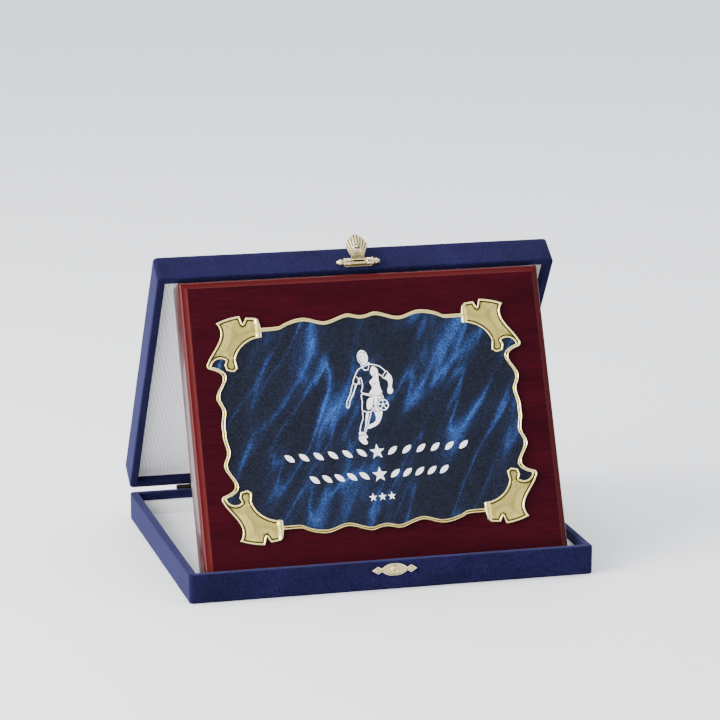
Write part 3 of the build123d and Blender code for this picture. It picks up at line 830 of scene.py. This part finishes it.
# Outlines of the printed figure, in millimetres about the plate's middle.
FIGURE = {
    "shirt": [
        (-2.9, 31.9), (-5.2, 30.9), (-7.2, 28.6), (-9.7, 23), (-6.7, 21.7), (-4.9, 25.4),
        (-4.3, 20.5), (-5.2, 16.6), (0.8, 15.2), (6.9, 15.4), (6.2, 20), (6.2, 26.4), (9, 24.7),
        (11.4, 27.2), (8.2, 31.2), (4.6, 32.8), (1.2, 33.2),
    ],
    "shirt_shade": [
        (3.2, 31.8), (6, 29.6), (5.9, 26), (5.7, 20), (6.3, 16), (-0.4, 15.7), (1.6, 19.2),
        (0.4, 22.6), (2.6, 25.2), (1.4, 28.4),
    ],
    "near_arm": [
        (-9.3, 22.9), (-10.8, 20.4), (-12.2, 16.4), (-14.4, 12.6), (-15.2, 9.6), (-14.3, 8),
        (-13, 9.4), (-12.4, 12), (-10, 15.8), (-8.2, 19.6), (-7.2, 22),
    ],
    "near_arm_light": [
        (-8.4, 21.6), (-9.6, 18.2), (-12, 13.9), (-12.6, 12.3), (-10.2, 16.2), (-8.4, 19.8),
    ],
    "far_arm": [
        (11.2, 27.4), (13.6, 25.6), (14.2, 22.6), (13.4, 18.8), (13.9, 16.6), (12.6, 14.8),
        (10.7, 15.2), (10.6, 17.4), (11.4, 19.2), (11.3, 22.4), (9.2, 24.6),
    ],
    "cuff": [(8.4, 25.6), (9.4, 24), (12.2, 26.8), (11.2, 28.4)],
    "shorts": [
        (-5.2, 16), (0.8, 14.6), (6.8, 14.9), (7.9, 9.8), (6.2, 5.2), (1.4, 4.2), (0.6, 7.6),
        (-0.4, 5), (-5.9, 5.9), (-5.6, 11),
    ],
    "shorts_light": [
        (0.4, 13.6), (6, 13.9), (6.9, 9.8), (5.4, 6), (2.2, 5.2), (1.4, 9.2), (-1.4, 6.4),
        (-3, 7.4), (-2.2, 12),
    ],
    "planted_leg": [
        (-5.6, 6.2), (-0.6, 5.4), (-2.3, 0.2), (-3.4, -3), (-6, -7.4), (-8.9, -6.6), (-8, -2.2),
        (-6.4, 1.4),
    ],
    "planted_leg_light": [
        (-2, 5), (-3.4, 0.4), (-4.6, -3.2), (-6.6, -6.8), (-5.2, -2.8), (-4.6, 1.2), (-3.4, 5),
    ],
    "trailing_leg": [
        (1.6, 4.8), (5.8, 5.6), (5, 1.2), (2.6, -2.4), (-1.6, -4.4), (-3.6, -4.6), (-2.8, -2.6),
        (0.4, -1.2), (1.8, 1.2),
    ],
    "sock": [(-9, -6.2), (-5.8, -7), (-5.6, -8.6), (-9.3, -8.2)],
    "boot": [
        (-9.2, -8.6), (-5.2, -8.4), (-4.6, -9.8), (-5.8, -10.6), (-4.9, -12.8), (-6.4, -13.9),
        (-8.6, -12.6), (-9.8, -10.6),
    ],
    "neck": [(-3.4, 34), (0.6, 34.6), (2.2, 32.8), (0.6, 31.2), (-2, 31.4), (-3.6, 32.4)],
    "jaw": [
        (-5.1, 38.4), (-4.8, 37), (-4.4, 35.6), (-3.7, 34.3), (-2.8, 33.4), (-3.2, 34.6),
        (-3.9, 35.8), (-4.4, 37.2),
    ],
}
# Lines on its clothes: is it white, width, points.
FOLDS = [
    (False, 0.4, [(-0.6, 31.2), (-1.2, 30), (-2.6, 29.6)]),
    (True, 0.7, [(-3.2, 31.8), (-1.8, 29.8), (0.4, 29.9), (1.4, 32.6)]),
    (True, 0.6, [(-7.6, 27), (-6.2, 25.2), (-5.4, 22), (-6, 21.6)]),
    (False, 0.6, [(4.4, 27.2), (3, 25.8), (1.6, 25.6)]),
    (False, 0.55, [(4.6, 22.4), (2.8, 21.2), (1.4, 21.4)]),
    (False, 0.6, [(3.9, 13.6), (4.4, 11.4), (4.2, 9.4)]),
    (False, 0.6, [(1.9, 13.6), (1.2, 10.4), (1.3, 8)]),
]
SOCK_LINE = [(-9.3, -8.4), (-7.4, -8), (-5.2, -8.5)]
HAIR_LINE = [(-4.5, 39.6), (-3.2, 40.4), (-1.6, 40.5), (-0.2, 40.1), (0.5, 39)]
NOSE = [(-2.1, 36.9), (-2.5, 35.6), (-1.8, 35.3)]
MOUTH = [(-2.8, 34.45), (-2, 34.35), (-1.2, 34.45)]
BROW = [(0.65, 38.2), (1.35, 38.5), (2, 38.15)]  # across from the middle of the face, height
FACE_MIDDLE = -2.05
BALL = (6.9, 8.6, 3.4)  # x, y, radius
LINE = 0.55  # width of the printed outline


def footballer():
    """Layers of the print, bottom first: (is it white, outline)."""
    shapes = {name: smooth(points) for name, points in FIGURE.items()}

    def white(*names):
        return [(True, shapes[name]) for name in names]

    def outlined(name, line=LINE):
        return white(name) + [(False, shrunk(shapes[name], line))]

    layers = white("trailing_leg") + outlined("planted_leg")
    layers += white("planted_leg_light", "sock", "boot") + [(False, stroke(SOCK_LINE, 0.6))]
    layers += outlined("shorts") + white("shorts_light") + outlined("near_arm")
    layers += white("near_arm_light", "far_arm", "neck") + outlined("shirt") + white("shirt_shade")
    layers += outlined("cuff", LINE * 0.8)
    layers += [(is_white, stroke(points, width)) for is_white, width, points in FOLDS]

    head = oval(-2.1, 37.3, 3.2, 4.5, 4)
    layers += [(False, shrunk(head, -0.5)), (True, head), (False, shapes["jaw"])]
    layers += [(False, stroke(HAIR_LINE, 0.4))]
    for side in (-1, 1):
        brow = [(FACE_MIDDLE + side * x, y) for x, y in BROW]
        eye = oval(FACE_MIDDLE + side * 1.3, 37.4, 0.48, 0.26)
        layers += [(False, stroke(brow, 0.4)), (False, eye)]
    layers += [(False, stroke(NOSE, 0.35)), (False, stroke(MOUTH, 0.35))]

    x, y, radius = BALL
    for is_white, size in ((False, radius + 0.5), (True, radius), (False, radius - LINE)):
        layers.append((is_white, oval(x, y, size, size, 0, 48)))
    layers.append((True, oval(x, y, 1.1, 1.1, 18, 5)))
    near, far = 1.05, radius - 0.9
    for angle in range(18, 378, 72):
        c, s = cos(radians(angle)), sin(radians(angle))
        seam = [(x + r * c, y + r * s) for r in (near, (near + far) / 2, far)]
        patch = oval(x + 2.5 * c, y + 2.5 * s, 0.65, 0.65, angle, 5)
        layers += [(True, stroke(seam, 0.45)), (True, patch)]
    return layers


def print_figure(layers, turn, origin, low, high, finish):
    """Raised ink where the top layer is white."""
    flat, cells, middles = cut([loop for _, loop in layers])
    shown = np.zeros(len(cells), bool)
    for is_white, loop in layers:
        shown[inside(middles, [loop])] = is_white
    used = sorted({i for cell, kept in zip(cells, shown) if kept for i in cell})
    order = {old: new for new, old in enumerate(used)}
    faces = [tuple(order[i] for i in cell) for cell, kept in zip(cells, shown) if kept]
    solid = walled([flat[i] for i in used], faces, [high] * len(used), low)
    piece("print_figure", solid, (turn, origin), "plaque", "white_ink", finish)


# ---- clasp and strike
FLUTES = 9
RELIEF_SHELL = 0.34
SHEET_METAL = 0.5
SHELL_CENTRE, SHELL_HALF = 9.8, 6.7  # its widest place: distance from the pin, half width
SHELL_SLANT = 0.5  # how far its edge is from round to straight
SHELL_NECK = (3.8, 3.2)
NECK_SHARE = 0.16  # share of its outline that is the neck, at each end
KNUCKLE_WIDTH = 9
STUD = [
    (2, 0.3), (2, 0.8), (1.8, 1), (1.5, 1.02), (1.25, 0.8), (1, 0.75), (0.9, 1.2),
    (0.85, 1.5), (0.6, 1.75), (0.25, 1.82),
]
BARREL_GAP, BARREL_RADIUS = 4.7, 2.3  # from the middle to each end, clear of the knuckle
FINIAL = [(12.35, 0.85), (12.6, 1.25), (12.9, 1), (13.3, 0.35), (13.4, 0.1)]
STRIKE_RIM = [(0, 0.55), (0.15, 0.95), (0.42, 1), (0.75, 0.6), (1, 0.55), (2, 0.62)]
SOCKET_RING = [
    (2.45, 0.2), (2.4, 0.8), (2.15, 1.3), (1.8, 1.52), (1.45, 1.5), (1.2, 1.2), (1.1, 0.5),
    (0.9, 0.32), (0.2, 0.3),
]
NAIL_HEAD = [(0.95, 0.35), (0.93, 0.6), (0.75, 0.85), (0.45, 0.98), (0.1, 1.02)]
NAIL_RADIUS = 1.1


def shell_outline(t, length):
    """Outer edge of the shell, from its right neck corner at 0 to its left one at 1."""
    if t < NECK_SHARE:
        return Vector(SHELL_NECK).lerp(Vector((SHELL_HALF, SHELL_CENTRE)), t / NECK_SHARE)
    if t > 1 - NECK_SHARE:
        mirror = shell_outline(1 - t, length)
        return Vector((-mirror.x, mirror.y))
    share = (t - NECK_SHARE) / (1 - 2 * NECK_SHARE)
    bulge = 0.4 * abs(sin(pi * FLUTES * share))
    rise = length - SHELL_CENTRE - 0.4
    across = (1 - SHELL_SLANT) * cos(pi * share) + SHELL_SLANT * (1 - 2 * share)
    up = (1 - SHELL_SLANT) * sin(pi * share) + SHELL_SLANT * (1 - abs(1 - 2 * share))
    return Vector(((SHELL_HALF + bulge) * across, SHELL_CENTRE + (rise + bulge) * up))


def scallop(length):
    """Fluted shell: ribs run from the neck to the scalloped edge, inside a raised border."""
    across, out = 180, 26
    points, shade = [], []
    for sunk in (0.0, SHEET_METAL):
        for i in range(across + 1):
            t = i / across
            edge = shell_outline(t, length)
            root = Vector((3.1 * cos(pi * t), 3.2))
            share = clamp((t - NECK_SHARE) / (1 - 2 * NECK_SHARE))
            rib = abs(sin(pi * FLUTES * share)) if 0 < share < 1 else 0.55
            border = 0.8 * exp(-((min(t, 1 - t) - 0.02) / 0.03) ** 2)
            for j in range(out + 1):
                v = j / out
                fade = min(v / 0.35, 1) * (1 if v < 0.93 else (1 - v) / 0.07)
                dome = 0.5 * sin(pi * v) * sin(pi * t)
                lift = RELIEF_SHELL * (fade * (rib - 0.35) + border) + dome
                points.append((*root.lerp(edge, v), lift - sunk))
                # painted light on the flutes: painted shade down the valleys between the ribs, a
                # painted highlight on their ridges
                shade.append(clamp(0.75 + (1.7 * rib - 1.2) * fade))
    row = out + 1
    starts = [i * row + j for i in range(across) for j in range(out)]
    front = [(a, a + row, a + row + 1, a + 1) for a in starts]
    return (points, doubled(front, len(points) // 2)), shade


def slab(corners, low, high, rounding=0.12):
    """A flat piece with slightly rounded upper and lower edges."""
    loops = [(rounding, low), (0.0, low + rounding), (0.0, high - rounding), (rounding, high)]
    return closed([(*p, z) for inset, z in loops for p in shrunk(corners, inset)], len(corners))


def oblong(x0, x1, y0, y1):
    """Outline of a rectangle, with extra points."""
    return divided([(x0, y0), (x1, y0), (x1, y1), (x0, y1)], 1.2)


def disc(x, y, profile, steps=32):
    """A small turned boss on the flap or plate: profile is (radius, height)."""
    return closed([(x + r * c, y + r * s, z) for r, z in profile for c, s in circle(steps)], steps)


def knuckle(radius):
    """The flap's knuckle round the pin, with a shallow dent that faces out."""
    half = KNUCKLE_WIDTH / 2
    profile = [(-half, radius - 0.2), (-half + 0.15, radius)]
    profile += [(x * 0.4, radius) for x in range(-10, 11)]
    profile += [(half - 0.15, radius), (half, radius - 0.2)]
    round_points, faces = lathe(profile, 64)
    points = []
    for x, y, z in round_points:
        off = (np.degrees(np.arctan2(y, z)) + 170) % 360 - 180
        dent = max(0.0, 1 - (off / 24) ** 2 - (x / 4.1) ** 2)
        shrink = 1 - 0.3 * min(dent * 2.5, 1.0)
        points.append((x, y * shrink, z * shrink))
    return points, faces


def clasp_shell(pin, finish):
    """The flap: its shell, knuckle and snap stud, and a strap and chevron at its neck."""
    turn = axes(face_normal("clasp_flap", middle("plaque_board") - middle("lid_padding")))
    low, high = span("clasp_flap", turn)
    back = turn.transposed()
    origin = back @ pin / MM
    radius = origin.y - low.y
    shell, shade = scallop(high.y - origin.y)
    strap = [(-4.5, 0.6), (4.5, 0.6), (4.5, 1.9), (3.5, 3.7), (-3.5, 3.7), (-4.5, 1.9)]
    strap = slab(divided(strap, 1.0), -0.35, 0.35)
    chevron = [(0, 6.2), (-2.4, 4.4), (-1.7, 4.1), (0, 5.3), (1.7, 4.1), (2.4, 4.4)]
    chevron = slab(chevron, 0.2, 0.62, 0.08)
    raised = [back @ v.co / MM - origin for v in nodes["clasp_flap"].data.vertices]
    raised = [p.y for p in raised if p.z > 1.2 and p.y > SHELL_NECK[1]]
    stud_rise = (min(raised) + max(raised)) / 2
    stud = disc(0, stud_rise, STUD)
    roll = knuckle(radius)
    shade += [0.85] * (len(strap[0]) + len(chevron[0]))
    # painted shade in the sunken ring between the stud's rim and its middle knob
    shade += [0.1 if hypot(x, y - stud_rise) < 1.4 and z < 1.3 else 0.95 for x, y, z in stud[0]]
    # painted shade in the knuckle's dent
    shade += [0.15 if hypot(y, z) < 0.93 * radius and abs(x) < 4.3 else 0.8 for x, y, z in roll[0]]
    piece(
        "clasp_shell", joined(shell, strap, chevron, stud, roll), (turn, origin), "clasp",
        "pale_brass", finish, ("clasp_flap",), sharp=40, relief=shade,
    )


def clasp_barrel(pin, lid_turn, finish):
    """Two turned barrel ends, their blocks, and the strap that holds them on the lid."""
    turn = axes(-lid_turn.col[1])
    origin = turn.transposed() @ pin / MM
    wall = span("lid_velvet_wrap", turn)[1].z - origin.z
    r = BARREL_RADIUS
    profile = [(BARREL_GAP, 0.7), (BARREL_GAP, r - 0.15), (BARREL_GAP + 0.15, r), (7.3, r)]
    profile += [(7.45, r - 0.25), (7.75, r - 0.25), (7.9, r + 0.1), (8.5, r + 0.25), (8.9, r + 0.1)]
    profile += [(9.1, 1.6), (9.4, 1.1)] + arc((10.75, 0.0), 1.75, 146, 34, 12) + FINIAL
    right = lathe(profile, 44)
    left = ([(-x, y, z) for x, y, z in right[0]], [tuple(reversed(f)) for f in right[1]])
    strap = slab(oblong(-8.2, 8.2, -1.5, 2.3), wall, wall + 0.4)
    blocks = [slab(oblong(s * 4.75, s * 8.1, -1.1, 2.0), wall, 0.0) for s in (-1, 1)]
    barrel = joined(right, left, strap, *blocks)
    piece(
        "clasp_barrel", barrel, (turn, origin), "lid", "pale_brass", finish, ("clasp_plate",),
        sharp=32, relief=[0.85] * len(barrel[0]),
    )


def strike_pieces(finish):
    """The strike's plate with a raised rim, its snap socket and its two nails."""
    turn = axes(Vector((0, -1, 0)))
    low, high = span("strike_plate", turn)
    origin = foot(low, high)
    loops = outlines("strike_plate", turn, origin, high.z - low.z)
    thick = high.z - low.z + 0.25

    # the height share is also the shade, so the strike's raised rim gets a painted highlight
    def height(_, distance):
        lift = between(STRIKE_RIM, distance)
        return thick * lift, lift

    plate, plate_shade = relief(loops[:1], 0.35, (0.15, 0.42, 0.75, 1.0), 0.8, height)
    ring = disc(0, 0, SOCKET_RING, 40)
    # painted shade on the socket's sunken middle
    ring_shade = [0.1 if hypot(x, y) < 1.0 else 0.85 for x, y, _ in ring[0]]
    nails_low, nails_high = span("strike_nails", turn)
    apart = (nails_high.x - nails_low.x) / 2 - NAIL_RADIUS
    nails = joined(disc(-apart, 0, NAIL_HEAD), disc(apart, 0, NAIL_HEAD))
    where = (turn, origin)
    for name, node, sharp, solid, shade in (
        ("strike_relief", "strike_plate", 70, plate, plate_shade),
        ("strike_ring", "strike_socket", 40, ring, ring_shade),
        ("strike_pins", "strike_nails", 40, nails, [0.7] * len(nails[0])),
    ):
        piece(name, solid, where, "base", "pale_brass", finish, (node,), sharp, relief=shade)


# ---- build
cloth, lining = velvet(), satin()
base_size = velvet_cover("base", "base_bottom_velvet", cloth)
lid_size = velvet_cover("lid", "lid_top_velvet", cloth)
base_satin, wall_height = satin_tray("base", base_size, 0.25, lining, ("base_lining",))
lid_satin, _ = satin_tray("lid", lid_size, 1.1, lining, ("lid_lining", "lid_padding"))

board_turn = axes(face_normal("plaque_board", middle("marble_plate") - middle("plaque_board")))
moulded_board(board_turn, lacquer(board_turn))

plate_turn = axes(board_turn.col[2], long_side("plate_adhesive"))
frame_low, frame_high = span("scroll_frame", plate_turn)
plate_origin = foot(frame_low, frame_high)
# gilt colours in order: painted highlight on the rims, the field, painted shade in the grooves;
# then roughness and grain scale
gold = gilt("gilt_frame", (0.98, 0.86, 0.46), (0.96, 0.78, 0.22), (0.10, 0.075, 0.018), 0.32, 900)
frame_height = frame_high.z - frame_low.z
embossed_frame(plate_turn, plate_origin, frame_height, gold)
plate_levels, ink_levels = (
    [corner.z - plate_origin.z for corner in span(node, plate_turn)]
    for node in ("marble_plate", "print_ornaments")
)
window_plate(plate_turn, plate_origin, frame_height, *plate_levels, marble(plate_turn))
white = ink()
print_figure(footballer(), plate_turn, plate_origin, *ink_levels, white)

# the clasp and strike brass, in the same order: painted highlight, field, painted shade
pale = gilt("pale_brass", (0.86, 0.77, 0.49), (0.56, 0.46, 0.22), (0.02, 0.015, 0.004), 0.22, 1400)
clasp_pin = Vector(next(j["pos_m"] for j in frame["joints"] if j["name"] == "clasp_swing"))
clasp_shell(clasp_pin, pale)
clasp_barrel(clasp_pin, lid_size["where"][0], pale)
strike_pieces(pale)

aged = old_brass()
wood = plain("rail_wood", (0.40, 0.27, 0.15), (0.62, 0.46, 0.29), 90, 0.7, (1, 12, 12))
card = plain("backing_board", (0.28, 0.22, 0.16), (0.42, 0.34, 0.25), 420, 0.9)
wadding = plain("wadding", (0.72, 0.72, 0.70), (0.9, 0.9, 0.88), 700, 1.0)
tape = plain("adhesive_sheet", (0.70, 0.69, 0.63), (0.85, 0.84, 0.78), 600, 0.8)
finishes = {
    "rail": wood, "panel": card, "padding": wadding, "adhesive": tape, "hinge": aged,
    "clasp_pin": aged, "ornaments": white,
}
for name, node in nodes.items():
    finish = next((made for word, made in finishes.items() if word in name), None)
    if finish is not None and not node.hide_render:
        if not node.material_slots:
            node.data.materials.append(finish)
        for material_slot in node.material_slots:
            material_slot.material = finish
        if "hinge" in name:
            round_edges(name)


# ---- floor, light and camera
ground = bpy.data.meshes.new("floor")
ground.from_pydata([(-8, -8, 0), (8, -8, 0), (8, 8, 0), (-8, 8, 0)], [], [(0, 1, 2, 3)])
ground.materials.append(Finish("floor").paint((0.80, 0.81, 0.83, 1), 0.6))
shown("floor", ground)


def softbox(name, place, size, power, colour=(1, 1, 1)):
    """Area light at a place, turned to the middle of the case."""
    light = bpy.data.lights.new(name, "AREA")
    light.shape = "RECTANGLE"
    light.size, light.size_y = size
    light.energy = power
    light.color = colour
    made = shown(name, light)
    made.location = place
    toward = (cad_low + cad_high) / 2 - Vector(place)
    made.rotation_euler = toward.to_track_quat("-Z", "Y").to_euler()


softbox("key_left", (-1.5, -0.35, 0.75), (1.2, 1.2), 85, (1.0, 0.99, 0.97))
softbox("top", (0.0, 0.6, 1.7), (1.6, 1.2), 18)

# Soft light all round, but for a dark side in front, so the lacquer keeps its depth.
DARK_SIDE = (0.24, -0.81, 0.54)
LIGHT, DARK = 1.9, 0.08
world = bpy.data.worlds.new("studio")
bpy.context.scene.world = world
sky = Nodes(world)
toward = {0: sky.add("TexCoord", "Generated", {}), 1: DARK_SIDE}
toward = sky.add("VectorMath", "Value", toward, operation="DOT_PRODUCT")
strength = {"Value": toward, "From Min": 0.87, "From Max": 0.97, "To Min": LIGHT, "To Max": DARK}
strength = sky.add("MapRange", "Result", strength, interpolation_type="SMOOTHSTEP")
background = sky.tree.nodes["Background"].inputs
sky.feed(background["Strength"], strength)
sky.feed(background["Color"], (0.93, 0.96, 1.0, 1))

CAMERA_PLACE = (-0.4658, -1.8150, 0.5515)
CAMERA_YAW, CAMERA_DIP = radians(14.49), radians(13.13)
lens = bpy.data.cameras.new("camera")
lens.sensor_width, lens.lens = 36.0, 162.03
camera = shown("camera", lens)
camera.location = CAMERA_PLACE
camera.rotation_euler = (pi / 2 - CAMERA_DIP, 0, -CAMERA_YAW)
bpy.context.scene.camera = camera
